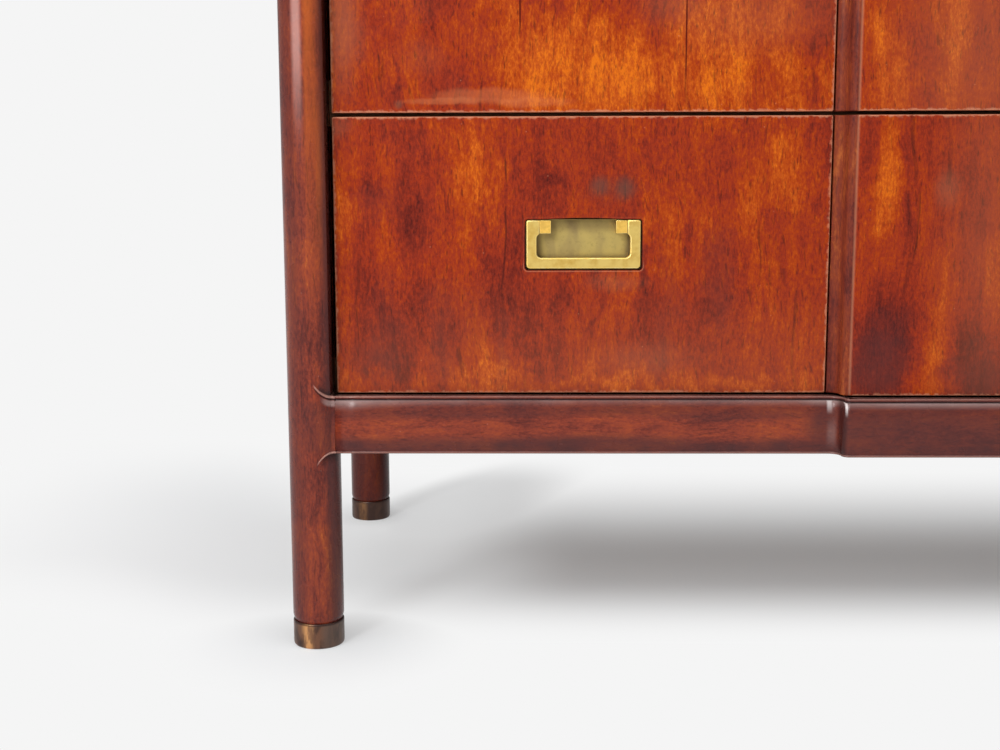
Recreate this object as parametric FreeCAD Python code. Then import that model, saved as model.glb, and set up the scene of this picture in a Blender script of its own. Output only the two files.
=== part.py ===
import FreeCAD, Part
import os

# Breakfront campaign chest of nine drawers, in millimetres.
# X runs along the front, -Y is the front, Z is up. The origin is on the floor,
# under the middle of the chest's overall box.

# Case
post_diameter = 44.0
post_flat_offset = 16.0        # from a post's axis to the flats that the case joins
post_pitch_depth = 432.0       # front post axis to rear post axis
leg_height = 170.8             # floor to the underside of the rails
ferrule_height = 22.3
ferrule_wall = 1.6
ferrule_floor = 2.0
ferrule_fit = 0.05             # radial clearance between a leg and its ferrule
shoulder_reach = 19.5          # from a post's axis to the seam with a rail
shoulder_root = 8.0            # where a shoulder starts inside its post
top_thickness = 24.0
top_overhang = 6.0
top_rounding = 7.0
divider_thickness = 20.0
back_thickness = 6.0
rear_rail_thickness = 20.0
dust_board_thickness = 18.0

# Rails: a convex face with a thin lip below and a bead above
rail_front_offset = 14.0       # from the post axes out to the rails' face
rail_ledge_height = 46.8       # underside to the ledge behind the bead
bead_width = 2.9
bead_rise = 2.4                # bead above the ledge
bead_setback = 2.0             # bead's front behind the face
lip_height = 1.8
face_bulge = 0.6
shoulder_start = 34.5          # height where the face begins to roll back
shoulder_depth = 3.4           # how far it rolls back under the bead

# Drawer fronts
side_front_width = 413.5
centre_front_width = 600.0
deep_front_height = 231.5
shallow_front_height = 130.0
front_thickness = 20.0
front_plane_offset = 0.7       # side fronts ahead of the post axes
breakfront_step = 15.4         # centre fronts ahead of the side fronts
cove_radius = 8.6              # hollow of the ogee; its nose takes the rest
post_front_gap = 4.2           # quirk between a post's flat and a front
front_side_gap = 1.4
row_gap = 3.0
rail_gap = 0.9                 # bead to the lowest fronts
front_rounding = 1.2
corner_rounding = 1.5

# Drawer boxes
box_board = 12.0
box_bottom_thickness = 6.0
box_bottom_rise = 8.0          # bottom board above the sides' lower edges
box_side_clearance = 1.2
box_running_gap = 0.3
box_head_room = 6.0
frame_seat = 1.0               # closed fronts to the edges of the dust boards
guide_thickness = 10.0
guide_height = 20.0
stop_width = 40.0
stop_height = 25.0
stop_depth = 7.4               # a closed box to the back panel, less its running gap

# Flush pulls
bail_width = 95.4
bail_height = 40.4
bail_thickness = 5.0
bail_bar = 9.0
arm_width = 8.6
head_width = 10.7
head_height = 11.2
bail_inner_radius = 4.0
bail_outer_radius = 2.5
lug_width = 9.5
lug_height = 10.7
lug_gap = 0.3
lug_setback = 0.2
pin_radius = 1.5
pin_running_fit = 0.05
pin_press_fit = 0.02
pin_end_inset = 2.7
mortise_side_gap = 1.2
mortise_bottom_gap = 1.2
mortise_top_gap = 0.8
mortise_arch = 1.3
mortise_arch_chord = 66.0
mortise_radius = 2.5
pan_fit = 0.2
pan_wall = 0.7
pan_floor = 1.5
pan_depth = 12.0               # face of the drawer to the floor of the pan
pan_rim_depth = 6.0
screw_radius = 2.0
screw_hole_gap = 0.2
screw_head_radius = 4.0
screw_head_height = 2.4
screw_tip_depth = 6.5
pull_rise_deep = 10.0          # pull above the middle of a deep front
pull_rise_shallow = 4.0
pull_inward_shift = 2.0        # side pulls, towards the middle of the chest

# Worked out from the sizes above
post_radius = post_diameter / 2
nose_radius = breakfront_step - cove_radius
centre_edge = centre_front_width / 2
side_inner_edge = centre_edge + front_side_gap
side_outer_edge = side_inner_edge + side_front_width
case_inner = side_outer_edge + post_front_gap
post_x = case_inner + post_flat_offset
overall_depth = top_overhang + breakfront_step + post_diameter + post_pitch_depth
front_axis = -overall_depth / 2 + top_overhang + breakfront_step + post_radius
rear_axis = front_axis + post_pitch_depth
front_plane = front_axis - front_plane_offset
case_front = front_plane + front_thickness + frame_seat
case_rear = rear_axis - rear_rail_thickness / 2
stop_front = case_rear - stop_depth
box_front = front_plane + front_thickness
box_rear = stop_front - box_running_gap
ledge_z = leg_height + rail_ledge_height
divider_middle = centre_edge + front_side_gap / 2
divider_inner = divider_middle - divider_thickness / 2
divider_outer = divider_middle + divider_thickness / 2
row_heights = [deep_front_height, deep_front_height, shallow_front_height]
row_rises = [pull_rise_deep, pull_rise_deep, pull_rise_shallow]
row_names = ["bottom", "middle", "top"]
row_floors = [ledge_z + bead_rise + rail_gap]
for height in row_heights[:2]:
    row_floors.append(row_floors[-1] + height + row_gap)
case_top = row_floors[2] + row_heights[2] + row_gap
dust_board_rise = (dust_board_thickness - row_gap) / 2


def vec(x, y, z):
    return FreeCAD.Vector(x, y, z)


def block(x0, x1, y0, y1, z0, z1):
    return Part.makeBox(x1 - x0, y1 - y0, z1 - z0, vec(x0, y0, z0))


def line(a, b):
    return Part.LineSegment(a, b).toShape()


def arc(a, through, b):
    return Part.Arc(a, through, b).toShape()


def upright(radius, z0, z1, x, y):
    return Part.makeCylinder(radius, z1 - z0, vec(x, y, z0), vec(0, 0, 1))


def rod_x(radius, x0, x1, y, z):
    return Part.makeCylinder(radius, x1 - x0, vec(x0, y, z), vec(1, 0, 0))


def rod_y(radius, y0, y1, x, z):
    return Part.makeCylinder(radius, y1 - y0, vec(x, y0, z), vec(0, 1, 0))


def mirrored(shape):
    return shape.mirror(vec(0, 0, 0), vec(1, 0, 0))


def union(first, others):
    return first.fuse(others).removeSplitter()


def save(name, solids):
    shape = solids[0] if len(solids) == 1 else Part.makeCompound(solids)
    shape.exportStep("parts/" + name + ".step")


# Rail mouldings

def rail_section(x, face_y, back_y):
    """Upright cross-section in the plane at x; the face looks towards -Y."""
    def at(offset, height):
        return vec(x, face_y + offset, leg_height + height)

    middle = bead_setback + bead_width / 2
    bead_base = rail_ledge_height - face_bulge
    bead_top = rail_ledge_height + bead_rise
    lip_root = 2 * face_bulge
    roll_middle = (shoulder_start + bead_base) / 2
    edges = [
        arc(at(lip_root, 0), at(face_bulge, lip_height / 2), at(lip_root, lip_height)),
        arc(at(lip_root, lip_height), at(-face_bulge, shoulder_start / 2), at(0, shoulder_start)),
        arc(at(0, shoulder_start), at(shoulder_depth * 0.36, roll_middle), at(shoulder_depth, bead_base)),
        arc(at(shoulder_depth, bead_base), at(bead_setback, (bead_base + bead_top) / 2), at(middle, bead_top)),
        arc(at(middle, bead_top), at(middle + bead_width * 0.35, bead_top - bead_rise * 0.3),
            at(middle + bead_width / 2, rail_ledge_height)),
        line(at(middle + bead_width / 2, rail_ledge_height), vec(x, back_y, ledge_z)),
        line(vec(x, back_y, ledge_z), vec(x, back_y, leg_height)),
        line(vec(x, back_y, leg_height), at(lip_root, 0)),
    ]
    return Part.Face(Part.Wire(edges))


def rail_length(x0, x1, face_y, back_y):
    return rail_section(x0, face_y, back_y).extrude(vec(x1 - x0, 0, 0))


def ogee_edges(side_y, offset, z):
    """Left ogee of the breakfront at a depth behind its surface, from cove to nose."""
    cove = cove_radius + offset
    nose = nose_radius - offset
    cove_centre = vec(-centre_edge, side_y - cove_radius, z)
    nose_centre = vec(-centre_edge + breakfront_step, side_y - cove_radius, z)
    diagonal = 0.5 ** 0.5
    start = cove_centre + vec(0, cove, 0)
    middle = cove_centre + vec(cove, 0, 0)
    end = nose_centre + vec(0, -nose, 0)
    cove_middle = cove_centre + vec(cove * diagonal, cove * diagonal, 0)
    nose_middle = nose_centre + vec(-nose * diagonal, -nose * diagonal, 0)
    return [arc(start, cove_middle, middle), arc(middle, nose_middle, end)], start, end


def mirrored_edges(edges):
    return [mirrored(edge) for edge in edges]


def mirrored_point(point):
    return vec(-point.x, point.y, point.z)


def front_rail():
    face_y = front_axis - rail_front_offset
    end_x = post_x - shoulder_reach
    strip_depth = bead_setback + bead_width + face_bulge
    body_offset = strip_depth - face_bulge
    inner_x = centre_edge - breakfront_step
    cove_strip = rail_section(-centre_edge, face_y, face_y + strip_depth)
    cove_axis = vec(-centre_edge, face_y - cove_radius, 0)
    cove_piece = cove_strip.revolve(cove_axis, vec(0, 0, 1), -90)
    nose_strip = rail_section(-inner_x, face_y - breakfront_step, face_y - breakfront_step + strip_depth)
    nose_axis = vec(-inner_x, face_y - cove_radius, 0)
    nose_piece = nose_strip.revolve(nose_axis, vec(0, 0, 1), -90)
    edges, start, end = ogee_edges(face_y, body_offset, leg_height)
    back_start = vec(start.x, case_front, leg_height)
    back_end = vec(end.x, case_front, leg_height)
    edges += [line(end, back_end), line(back_end, back_start), line(back_start, start)]
    body = Part.Face(Part.Wire(edges)).extrude(vec(0, 0, rail_ledge_height))
    side = rail_length(-end_x, -centre_edge, face_y, case_front)
    pieces = [cove_piece, nose_piece, body]
    centre = rail_length(-inner_x, inner_x, face_y - breakfront_step, case_front)
    return union(side, pieces + [centre, mirrored(side)] + [mirrored(piece) for piece in pieces])


def side_rail():
    """Left side rail, its face towards -X."""
    length = post_pitch_depth - 2 * shoulder_reach
    rail = rail_length(0, length, -rail_front_offset, post_flat_offset)
    rail.rotate(vec(0, 0, 0), vec(0, 0, 1), -90)
    rail.translate(vec(-post_x, rear_axis - shoulder_reach, 0))
    return rail


# Posts and feet

def post(front):
    """Left post with flats for the case, and carved shoulders where rails meet it."""
    axis_y = front_axis if front else rear_axis
    inward = 1 if front else -1
    tenon_radius = post_radius - ferrule_wall - ferrule_fit
    body = upright(post_radius, ferrule_height, case_top, -post_x, axis_y)
    tenon = upright(tenon_radius, ferrule_floor, ferrule_height, -post_x, axis_y)
    flat_x = block(-post_x + post_flat_offset, -post_x + post_diameter, axis_y - post_diameter,
                   axis_y + post_diameter, leg_height, case_top)
    flat_y0, flat_y1 = sorted([axis_y + inward * post_flat_offset, axis_y + inward * post_diameter])
    flat_y = block(-post_x - post_diameter, -post_x + post_diameter, flat_y0, flat_y1,
                   leg_height, case_top)
    body = body.cut([flat_x, flat_y])
    reach = shoulder_reach - shoulder_root
    stub = rail_length(0, reach, -rail_front_offset, post_flat_offset)
    stub.rotate(vec(0, 0, 0), vec(0, 0, 1), -90)
    stub_y = axis_y + shoulder_reach if front else axis_y - shoulder_root
    stub.translate(vec(-post_x, stub_y, 0))
    stubs = [tenon, stub]
    if front:
        stubs.append(rail_length(-post_x + shoulder_root, -post_x + shoulder_reach,
                                 axis_y - rail_front_offset, axis_y + post_flat_offset))
    return union(body, stubs)


def ferrule(axis_y):
    cup = upright(post_radius, 0, ferrule_height, -post_x, axis_y)
    rim = [edge for edge in cup.Edges if abs(edge.CenterOfMass.z) < 0.01]
    cup = cup.makeFillet(ferrule_wall / 2, rim)
    bore = upright(post_radius - ferrule_wall, ferrule_floor, ferrule_height, -post_x, axis_y)
    return cup.cut(bore)


# Case boards

def top_board():
    half = post_x + post_radius + top_overhang
    side_y = front_axis - post_radius - top_overhang
    rear_y = rear_axis + post_radius
    edges, start, end = ogee_edges(side_y, 0, case_top)
    corner = vec(-half, side_y, case_top)
    rear = vec(-half, rear_y, case_top)
    outline = [line(corner, start)] + edges
    outline += [line(end, mirrored_point(end))] + mirrored_edges(outline)
    outline += [line(mirrored_point(corner), mirrored_point(rear))]
    outline += [line(mirrored_point(rear), rear), line(rear, corner)]
    wire = Part.Wire(Part.__sortEdges__(outline))
    board = Part.Face(wire).extrude(vec(0, 0, top_thickness))
    rim = []
    for edge in board.Edges:
        middle = edge.CenterOfMass
        level = min(abs(middle.z - case_top), abs(middle.z - case_top - top_thickness)) < 0.01
        if level and middle.y < rear_y - 0.01:
            rim.append(edge)
    return board.makeFillet(top_rounding, rim)


def side_panel():
    return block(-post_x, -case_inner, front_axis + post_flat_offset, rear_axis - post_flat_offset,
                 ledge_z, case_top)


def rear_rail():
    return block(-case_inner, case_inner, case_rear, case_rear + rear_rail_thickness,
                 leg_height, ledge_z)


def back_panel():
    return block(-case_inner, case_inner, case_rear, case_rear + back_thickness, ledge_z, case_top)


def divider():
    return block(-divider_outer, -divider_inner, case_front, case_rear,
                 row_floors[0] - row_gap / 2 - dust_board_thickness / 2, case_top)


def dust_boards(row):
    top = row_floors[row] + dust_board_rise
    z0 = top - dust_board_thickness
    side = block(-case_inner, -divider_outer, case_front, case_rear, z0, top)
    centre = block(-divider_inner, divider_inner, case_front, case_rear, z0, top)
    return [side, centre, mirrored(side)]


def drawer_guides():
    guides = []
    for floor in row_floors:
        z0 = floor + dust_board_rise
        guide = block(-case_inner, -case_inner + guide_thickness, case_front, case_rear,
                      z0, z0 + guide_height)
        guides += [guide, mirrored(guide)]
    return guides


def drawer_stops():
    stops = []
    for floor in row_floors:
        z0 = floor + dust_board_rise
        for bank in banks:
            stops.append(block(bank["middle"] - stop_width / 2, bank["middle"] + stop_width / 2,
                               stop_front, case_rear, z0, z0 + stop_height))
    return stops


# Drawers

def rounded_front(x0, x1, y0, y1, z0, z1):
    board = block(x0, x1, y0, y1, z0, z1)
    corners = [edge for edge in board.Edges if abs(edge.Vertexes[0].Y - edge.Vertexes[1].Y) > 1]
    board = board.makeFillet(corner_rounding, corners)
    rim = [edge for edge in board.Edges if abs(edge.BoundBox.YMax - y0) < 0.01]
    return board.makeFillet(front_rounding, rim)


def centre_front_board(z0, z1):
    edges, start, end = ogee_edges(front_plane, 0, z0)
    rear = vec(start.x, front_plane + front_thickness, z0)
    outline = list(edges)
    outline += [line(end, mirrored_point(end))] + mirrored_edges(edges)
    outline += [line(start, rear), line(mirrored_point(start), mirrored_point(rear))]
    outline += [line(rear, mirrored_point(rear))]
    wire = Part.Wire(Part.__sortEdges__(outline))
    board = Part.Face(wire).extrude(vec(0, 0, z1 - z0))
    rim = []
    for edge in board.Edges:
        flat = edge.BoundBox.ZLength < 0.01
        if flat and edge.BoundBox.YMax < front_plane + 0.01:
            rim.append(edge)
    return board.makeFillet(front_rounding, rim)


def pull_mortise(x, y, z):
    """Pocket for a pull; x is its middle, y the drawer's face, z the bail's lower edge."""
    half = bail_width / 2 + mortise_side_gap
    depth = pan_depth + pan_floor + pan_fit
    z0 = z - mortise_bottom_gap
    z1 = z + bail_height + mortise_top_gap
    front = y - bail_thickness
    pocket = block(x - half, x + half, front, y + depth, z0, z1)
    corners = [edge for edge in pocket.Edges if abs(edge.Vertexes[0].Y - edge.Vertexes[1].Y) > 1]
    pocket = pocket.makeFillet(mortise_radius, corners)
    left = vec(x - mortise_arch_chord / 2, front, z1)
    right = vec(x + mortise_arch_chord / 2, front, z1)
    crown = vec(x, front, z1 + mortise_arch)
    low_left = left - vec(0, 0, mortise_arch)
    low_right = right - vec(0, 0, mortise_arch)
    edges = [arc(left, crown, right), line(right, low_right), line(low_right, low_left), line(low_left, left)]
    arch = Part.Face(Part.Wire(edges)).extrude(vec(0, depth + bail_thickness, 0))
    return union(pocket, [arch])


def lug_middle():
    return bail_width / 2 - head_width - lug_gap - lug_width / 2


def pull_plate(x, y, z, thickness):
    """Shallow pan, two square lugs that stand on its floor, and a screw into each lug."""
    half = bail_width / 2 + mortise_side_gap - pan_fit
    z0 = z - mortise_bottom_gap + pan_fit
    z1 = z + bail_height + mortise_top_gap - pan_fit
    pan = block(x - half, x + half, y + pan_rim_depth, y + pan_depth + pan_floor, z0, z1)
    corners = [edge for edge in pan.Edges if abs(edge.Vertexes[0].Y - edge.Vertexes[1].Y) > 1]
    pan = pan.makeFillet(mortise_radius, corners)
    hollow = block(x - half + pan_wall, x + half - pan_wall, y + pan_rim_depth - 1, y + pan_depth,
                   z0 + pan_wall, z1 - pan_wall)
    hollow_corners = [edge for edge in hollow.Edges if abs(edge.Vertexes[0].Y - edge.Vertexes[1].Y) > 1]
    pan = pan.cut(hollow.makeFillet(mortise_radius - pan_wall, hollow_corners))
    lug_top = z + bail_height - (head_height - lug_height) / 2
    pivot_z = z + bail_height - head_height / 2
    lugs = []
    screws = []
    tip_y = y + screw_tip_depth
    for side in (-1, 1):
        middle = x + side * lug_middle()
        lug = block(middle - lug_width / 2, middle + lug_width / 2, y + lug_setback, y + pan_depth,
                    lug_top - lug_height, lug_top)
        pin_bore = rod_x(pin_radius + pin_running_fit, middle - lug_width / 2 - 1,
                         middle + lug_width / 2 + 1, y + bail_thickness / 2, pivot_z)
        screw_bore = rod_y(screw_radius + pin_press_fit, tip_y, y + pan_depth + pan_floor + 1,
                           middle, pivot_z)
        lugs.append(lug.cut([pin_bore, screw_bore]))
        pan = pan.cut(screw_bore)
        shank = rod_y(screw_radius, tip_y, y + thickness, middle, pivot_z)
        head = rod_y(screw_head_radius, y + thickness, y + thickness + screw_head_height,
                     middle, pivot_z)
        screws.append(union(shank, [head]))
    return [pan] + lugs + screws


def pull_bail(x, y, z):
    """Square U with rounded inner corners, thicker heads, and a pin in each head."""
    half = bail_width / 2
    top = z + bail_height
    outer = block(x - half, x + half, y, y + bail_thickness, z, top)
    low = []
    for edge in outer.Edges:
        middle = edge.CenterOfMass
        if abs(edge.Vertexes[0].Y - edge.Vertexes[1].Y) > 1 and middle.z < z + 0.01:
            low.append(edge)
    outer = outer.makeFillet(bail_outer_radius, low)
    inner = block(x - half + arm_width, x + half - arm_width, y - 1, y + bail_thickness + 1,
                  z + bail_bar, top - head_height)
    corners = [edge for edge in inner.Edges if abs(edge.Vertexes[0].Y - edge.Vertexes[1].Y) > 1]
    inner = inner.makeFillet(bail_inner_radius, corners)
    mouth = block(x - half + head_width, x + half - head_width, y - 1, y + bail_thickness + 1,
                  top - head_height - bail_inner_radius, top + 1)
    bail = outer.cut([inner, mouth])
    pivot_y = y + bail_thickness / 2
    pivot_z = top - head_height / 2
    bores = []
    pins = []
    for side in (-1, 1):
        inner_end = x + side * (lug_middle() - lug_width / 2 + lug_gap)
        outer_end = x + side * (half - pin_end_inset)
        ends = sorted([inner_end, outer_end])
        pins.append(rod_x(pin_radius, ends[0], ends[1], pivot_y, pivot_z))
        bore_ends = sorted([x + side * (half - head_width - 1), outer_end])
        bores.append(rod_x(pin_radius + pin_press_fit, bore_ends[0], bore_ends[1], pivot_y, pivot_z))
    return [bail.cut(bores)] + pins


def screw_holes(x, y, z, thickness):
    pivot_z = z + bail_height - head_height / 2
    holes = []
    for side in (-1, 1):
        holes.append(rod_y(screw_radius + screw_hole_gap, y + pan_depth, y + thickness + 1,
                           x + side * lug_middle(), pivot_z))
    return holes


def drawer_box(bank, z0, z1):
    x0, x1 = bank["box"]
    y0 = box_front
    y1 = box_rear
    left = block(x0, x0 + box_board, y0, y1, z0, z1)
    right = block(x1 - box_board, x1, y0, y1, z0, z1)
    back = block(x0 + box_board, x1 - box_board, y1 - box_board, y1, z0 + box_bottom_rise, z1)
    bottom = block(x0 + box_board, x1 - box_board, y0, y1 - box_board,
                   z0 + box_bottom_rise, z0 + box_bottom_rise + box_bottom_thickness)
    return [left, right, back, bottom]


def save_drawer(bank, row):
    z0 = row_floors[row]
    z1 = z0 + row_heights[row]
    x0, x1 = bank["front"]
    if bank["step"]:
        board = centre_front_board(z0, z1)
    else:
        board = rounded_front(x0, x1, front_plane, front_plane + front_thickness, z0, z1)
    face = front_plane - bank["step"]
    thickness = front_thickness + bank["step"]
    pull_x = bank["middle"] + bank["pull_shift"]
    pull_z = (z0 + z1) / 2 + row_rises[row] - bail_height / 2
    cuts = [pull_mortise(pull_x, face, pull_z)] + screw_holes(pull_x, face, pull_z, thickness)
    box_z0 = z0 + dust_board_rise + box_running_gap
    box_z1 = z1 - dust_board_rise - box_head_room
    name = bank["name"] + "_" + row_names[row]
    save("drawer_front_" + name, [board.cut(cuts)])
    save("drawer_box_" + name, drawer_box(bank, box_z0, box_z1))
    save("pull_plate_" + name, pull_plate(pull_x, face, pull_z, thickness))
    save("pull_bail_" + name, pull_bail(pull_x, face, pull_z))


side_box = (divider_outer + box_side_clearance, case_inner - guide_thickness - box_side_clearance)
centre_box = divider_inner - box_side_clearance
side_middle = (side_inner_edge + side_outer_edge) / 2
banks = [
    {"name": "left", "step": 0, "middle": -side_middle, "pull_shift": pull_inward_shift,
     "front": (-side_outer_edge, -side_inner_edge), "box": (-side_box[1], -side_box[0])},
    {"name": "centre", "step": breakfront_step, "middle": 0, "pull_shift": 0,
     "front": (-centre_edge, centre_edge), "box": (-centre_box, centre_box)},
    {"name": "right", "step": 0, "middle": side_middle, "pull_shift": -pull_inward_shift,
     "front": (side_inner_edge, side_outer_edge), "box": side_box},
]

os.makedirs("parts", exist_ok=True)
for end_name, is_front, axis in (("front", True, front_axis), ("rear", False, rear_axis)):
    left_post = post(is_front)
    left_ferrule = ferrule(axis)
    save("post_" + end_name + "_left", [left_post])
    save("post_" + end_name + "_right", [mirrored(left_post)])
    save("ferrule_" + end_name + "_left", [left_ferrule])
    save("ferrule_" + end_name + "_right", [mirrored(left_ferrule)])
save("front_rail", [front_rail()])
save("rear_rail", [rear_rail()])
save("side_rail_left", [side_rail()])
save("side_rail_right", [mirrored(side_rail())])
save("side_panel_left", [side_panel()])
save("side_panel_right", [mirrored(side_panel())])
save("back_panel", [back_panel()])
save("top_board", [top_board()])
save("divider_left", [divider()])
save("divider_right", [mirrored(divider())])
for row_number, row_name in enumerate(row_names):
    save("dust_boards_" + row_name, dust_boards(row_number))
save("drawer_guides", drawer_guides())
save("drawer_stops", drawer_stops())
for drawer_bank in banks:
    for row_number in range(3):
        save_drawer(drawer_bank, row_number)
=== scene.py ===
import bpy
import math
import numpy as np
from mathutils import Matrix, Vector


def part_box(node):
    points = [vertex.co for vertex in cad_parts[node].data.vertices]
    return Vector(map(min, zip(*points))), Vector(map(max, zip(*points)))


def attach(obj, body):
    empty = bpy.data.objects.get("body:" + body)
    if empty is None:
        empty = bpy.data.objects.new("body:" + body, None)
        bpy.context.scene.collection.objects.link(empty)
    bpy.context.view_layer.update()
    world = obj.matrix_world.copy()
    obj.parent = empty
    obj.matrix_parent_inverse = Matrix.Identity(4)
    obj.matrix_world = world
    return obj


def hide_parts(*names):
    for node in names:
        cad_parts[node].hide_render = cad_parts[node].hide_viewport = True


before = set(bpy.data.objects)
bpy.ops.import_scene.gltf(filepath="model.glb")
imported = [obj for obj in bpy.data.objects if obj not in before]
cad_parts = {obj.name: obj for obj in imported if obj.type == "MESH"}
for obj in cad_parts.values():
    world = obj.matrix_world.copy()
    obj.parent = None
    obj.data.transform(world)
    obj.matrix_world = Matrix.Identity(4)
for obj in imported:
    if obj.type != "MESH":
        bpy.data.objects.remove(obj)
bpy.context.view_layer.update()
mm = 0.001


def srgb(red, green, blue):
    # A colour written as 0 to 255, turned into the linear values that sockets take
    parts = [part / 255 for part in (red, green, blue)]
    return (*(part / 12.92 if part <= 0.04045 else ((part + 0.055) / 1.055) ** 2.4 for part in parts), 1.0)


# Places read from the frame
postLow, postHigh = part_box("post_front_left")
postCentre = (postLow + postHigh) / 2
postX, frontAxisY = -postCentre.x, postCentre.y
postRadius = (postHigh.x - postLow.x) / 2
caseTop = postHigh.z
rearAxisY = sum(corner.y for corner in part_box("post_rear_left")) / 2
middleY, halfPitch = (frontAxisY + rearAxisY) / 2, (rearAxisY - frontAxisY) / 2
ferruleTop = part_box("ferrule_front_left")[1].z
railLow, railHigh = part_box("front_rail")
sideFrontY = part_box("drawer_front_left_bottom")[0].y
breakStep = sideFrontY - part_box("drawer_front_centre_bottom")[0].y
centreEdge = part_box("drawer_front_centre_bottom")[1].x
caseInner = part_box("side_panel_right")[0].x
flatOffset = postX - caseInner
banks = ("left", "centre", "right")
rows = ("bottom", "middle", "top")


# Shader building

def addNode(tree, kind, **settings):
    node = tree.nodes.new(kind)
    for key, value in settings.items():
        setattr(node, key, value)
    return node


def feed(target, source):
    # Links a Flow to a socket, or puts a plain value on it
    if isinstance(source, Flow):
        source.tree.links.new(source.socket, target)
    else:
        target.default_value = source[:] if isinstance(source, Vector) else source


def arithmetic(operation, swapped=False):
    def method(self, other):
        return self.apply(operation, *((other, self) if swapped else (self, other)))
    return method


class Flow:
    # A value that runs through a shader tree. Arithmetic on it adds a Math or Vector Math node.
    __add__ = __radd__ = arithmetic("ADD")
    __mul__ = __rmul__ = arithmetic("MULTIPLY")
    __sub__, __rsub__ = arithmetic("SUBTRACT"), arithmetic("SUBTRACT", True)
    __truediv__, __pow__ = arithmetic("DIVIDE"), arithmetic("POWER")
    __gt__, __lt__ = arithmetic("GREATER_THAN"), arithmetic("LESS_THAN")
    most, least = arithmetic("MAXIMUM"), arithmetic("MINIMUM")

    def __init__(self, tree, socket):
        self.tree, self.socket = tree, socket

    def apply(self, operation, *values, output=0):
        kind = "ShaderNodeMath" if self.socket.type == "VALUE" else "ShaderNodeVectorMath"
        node = addNode(self.tree, kind, operation=operation)
        for socket, value in zip(node.inputs, values):
            feed(socket, value)
        return Flow(self.tree, node.outputs[output])

    def __abs__(self):
        return self.apply("ABSOLUTE", self)

    def length(self):
        return self.apply("LENGTH", self, output="Value")

    def through(self, kind, values=(), **settings):
        # Sends the value into a new node's first socket, and further values into named ones
        node = addNode(self.tree, kind, **settings)
        feed(node.inputs[0], self)
        for label, value in dict(values).items():
            feed(node.inputs[label], value)
        return node

    def rise(self, low, high, start=0.0, end=1.0, smooth=True):
        # start up to low, end from high on, and a smooth or straight run between them
        values = {"From Min": low, "From Max": high, "To Min": start, "To Max": end}
        node = self.through("ShaderNodeMapRange", values, clamp=True,
                            interpolation_type="SMOOTHSTEP" if smooth else "LINEAR")
        return Flow(self.tree, node.outputs["Result"])

    def fall(self, low, high, start=1.0):
        return self.rise(low, high, start, 0.0)

    def noise(self, scale, detail=3.0, rough=0.55, distort=0.0, output="Fac"):
        node = self.through("ShaderNodeTexNoise", noise_dimensions="3D", values={
            "Scale": scale, "Detail": detail, "Roughness": rough, "Distortion": distort})
        return Flow(self.tree, node.outputs[output])

    def split(self):
        return [Flow(self.tree, socket) for socket in self.through("ShaderNodeSeparateXYZ").outputs]

    def ramp(self, stops):
        node = self.through("ShaderNodeValToRGB")
        elements = node.color_ramp.elements
        while len(elements) > 1:
            elements.remove(elements[-1])
        elements[0].position, elements[0].color = stops[0]
        for position, color in stops[1:]:
            elements.new(position).color = color
        return Flow(self.tree, node.outputs[0])


def treeOf(values):
    return next(value.tree for value in values if isinstance(value, Flow))


def mix(share, first, second):
    tree = treeOf((share, first, second))
    node = addNode(tree, "ShaderNodeMix", data_type="RGBA")
    for index, value in ((0, share), (6, first), (7, second)):
        feed(node.inputs[index], value)
    return Flow(tree, node.outputs[2])


def swing(value, amount):
    # A noise value turned into a change about nought
    return value * amount - amount / 2


def newMaterial(name):
    # An empty material, and Object coordinates in its tree
    material = bpy.data.materials.new(name)
    material.use_nodes = True
    tree = material.node_tree
    tree.nodes.clear()
    return material, Flow(tree, addNode(tree, "ShaderNodeTexCoord").outputs["Object"])


def facing(place):
    # The three parts of the surface's normal
    return Flow(place.tree, addNode(place.tree, "ShaderNodeNewGeometry").outputs["Normal"]).split()


def finishMaterial(color, roughness, height, bumpDistance, specular=0.5, metallic=0.0):
    tree = color.tree
    shader = addNode(tree, "ShaderNodeBsdfPrincipled")
    bump = addNode(tree, "ShaderNodeBump")
    out = addNode(tree, "ShaderNodeOutputMaterial")
    shader.inputs["Specular IOR Level"].default_value = specular
    bump.inputs["Distance"].default_value = bumpDistance
    feed(bump.inputs["Height"], height)
    for label, value in (("Base Color", color), ("Roughness", roughness), ("Metallic", metallic),
                         ("Normal", Flow(tree, bump.outputs[0]))):
        feed(shader.inputs[label], value)
    tree.links.new(shader.outputs[0], out.inputs["Surface"])


origin = (0.0, 0.0, 0.0)


def newGroup(name, inputs, build):
    # A shader group. inputs gives each socket's name and first value, and build turns them, as
    # Flows, into the named outputs.
    group = bpy.data.node_groups.new(name, "ShaderNodeTree")
    for label, value in inputs.items():
        kind = "NodeSocketVector" if isinstance(value, tuple) else "NodeSocketFloat"
        group.interface.new_socket(label, in_out="INPUT", socket_type=kind).default_value = value
    given = group.nodes.new("NodeGroupInput")
    outputs = build(*(Flow(group, given.outputs[label]) for label in inputs))
    for label in outputs:
        group.interface.new_socket(label, in_out="OUTPUT", socket_type="NodeSocketFloat")
    out = group.nodes.new("NodeGroupOutput")
    for label, value in outputs.items():
        feed(out.inputs[label], value)
    return group


def use(group, **values):
    # Places a group, and gives its outputs by name
    tree = treeOf(values.values())
    node = addNode(tree, "ShaderNodeGroup", node_tree=group)
    for label, value in values.items():
        feed(node.inputs[label], value)
    return {socket.name: Flow(tree, socket) for socket in node.outputs}


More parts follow.
